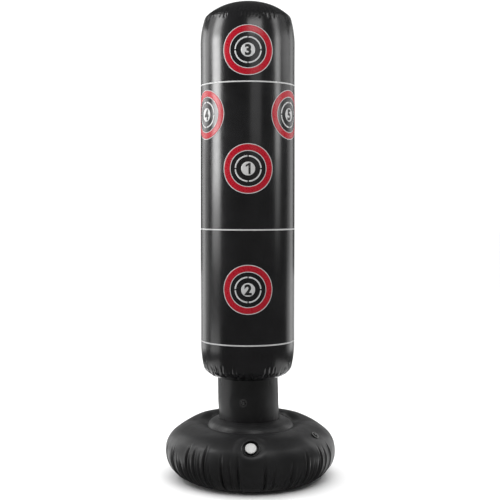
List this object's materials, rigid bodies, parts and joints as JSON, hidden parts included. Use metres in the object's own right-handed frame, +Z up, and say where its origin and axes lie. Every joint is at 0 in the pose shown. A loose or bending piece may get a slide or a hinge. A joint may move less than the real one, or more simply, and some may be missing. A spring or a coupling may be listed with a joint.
{
  "type": "inflatable free-standing punching bag",
  "caption": "Inflatable punching tower: a black air column with printed targets on a flexible neck above a round water-filled base.",
  "frame": {"origin": "on the floor at the middle of the base", "axes": "+Z up along the column; the targets and the filling port face -Y; +X to the right as seen from the front"},
  "size_m": [0.5759, 0.576, 1.6],
  "materials": {
    "skin_black": "gloss",
    "print_red": "satin",
    "print_white": "satin",
    "port_black": "gloss",
    "cap_white": "satin",
    "valve_black": "gloss",
    "water": "gloss"
  },
  "bodies": {
    "base": {"base_bottom_panel": "skin_black", "base_top_skin": "skin_black", "chamber_floor": "skin_black", "water_ballast": "water", "neck_collar": "skin_black", "port_socket": "port_black", "base_valve_flange": "valve_black", "base_valve_web": "valve_black"},
    "neck": {"neck_sleeve": "skin_black", "neck_valve_flange": "valve_black", "neck_valve_web": "valve_black"},
    "column": {"column_bottom_panel": "skin_black", "column_wall": "skin_black", "column_top_panel": "skin_black", "stripe_upper": "print_white", "stripe_middle": "print_white", "stripe_lower": "print_white", "target_1_red_ring": "print_red", "target_2_red_ring": "print_red", "target_3_red_ring": "print_red", "target_4_red_ring": "print_red", "target_5_red_ring": "print_red", "target_1_white_marks": "print_white", "target_2_white_marks": "print_white", "target_3_white_marks": "print_white", "target_4_white_marks": "print_white", "target_5_white_marks": "print_white"},
    "cap_gasket": {"port_gasket": "port_black"},
    "port_cap": {"port_cap": "cap_white"},
    "neck_valve_stem": {"neck_valve_stem": "valve_black", "neck_valve_flap": "valve_black"},
    "neck_valve_plug": {"neck_valve_plug": "valve_black"},
    "base_valve_stem": {"base_valve_stem": "valve_black", "base_valve_flap": "valve_black"},
    "base_valve_plug": {"base_valve_plug": "valve_black"}
  },
  "joints": [
    {"name": "neck_pitch", "type": "hinge", "parent": "base", "child": "neck", "pos_m": [0, 0, 0.268], "axis": [1, 0, 0], "range_deg": [-20, 20], "stiffness_Nm_per_rad": 30, "deforming": ["neck_sleeve"]},
    {"name": "neck_roll", "type": "hinge", "parent": "neck", "child": "column", "pos_m": [0, 0, 0.268], "axis": [0, 1, 0], "range_deg": [-20, 20], "stiffness_Nm_per_rad": 30, "deforming": ["neck_sleeve"]},
    {"name": "cap_rise", "type": "slide", "parent": "base", "child": "cap_gasket", "axis": [0.0151, -0.7192, 0.6947], "range_m": [0, 0.0142]},
    {"name": "cap_turn", "type": "hinge", "parent": "cap_gasket", "child": "port_cap", "pos_m": [0.00546, -0.26054, 0.154], "axis": [0.0151, -0.7192, 0.6947], "range_deg": [0, 1260]},
    {"name": "neck_valve_pull", "type": "slide", "parent": "neck", "child": "neck_valve_stem", "axis": [-0.1959, -0.9806, 0], "range_m": [0, 0.011], "deforming": ["neck_valve_web"]},
    {"name": "neck_valve_plug_swing", "type": "hinge", "parent": "neck_valve_stem", "child": "neck_valve_plug", "pos_m": [-0.02031, -0.10164, 0.2555], "axis": [0.9806, -0.1959, 0], "range_deg": [0, 135]},
    {"name": "base_valve_pull", "type": "slide", "parent": "base", "child": "base_valve_stem", "axis": [0.5649, -0.3067, 0.766], "range_m": [0, 0.011], "deforming": ["base_valve_web"]},
    {"name": "base_valve_plug_swing", "type": "hinge", "parent": "base_valve_stem", "child": "base_valve_plug", "pos_m": [0.22639, -0.12292, 0.15982], "axis": [0.4772, 0.8788, 0], "range_deg": [0, 135]}
  ],
  "couplings": [
    {"joint": "cap_rise", "follows": "cap_turn", "m_per_rad": 0.00063662}
  ]
}
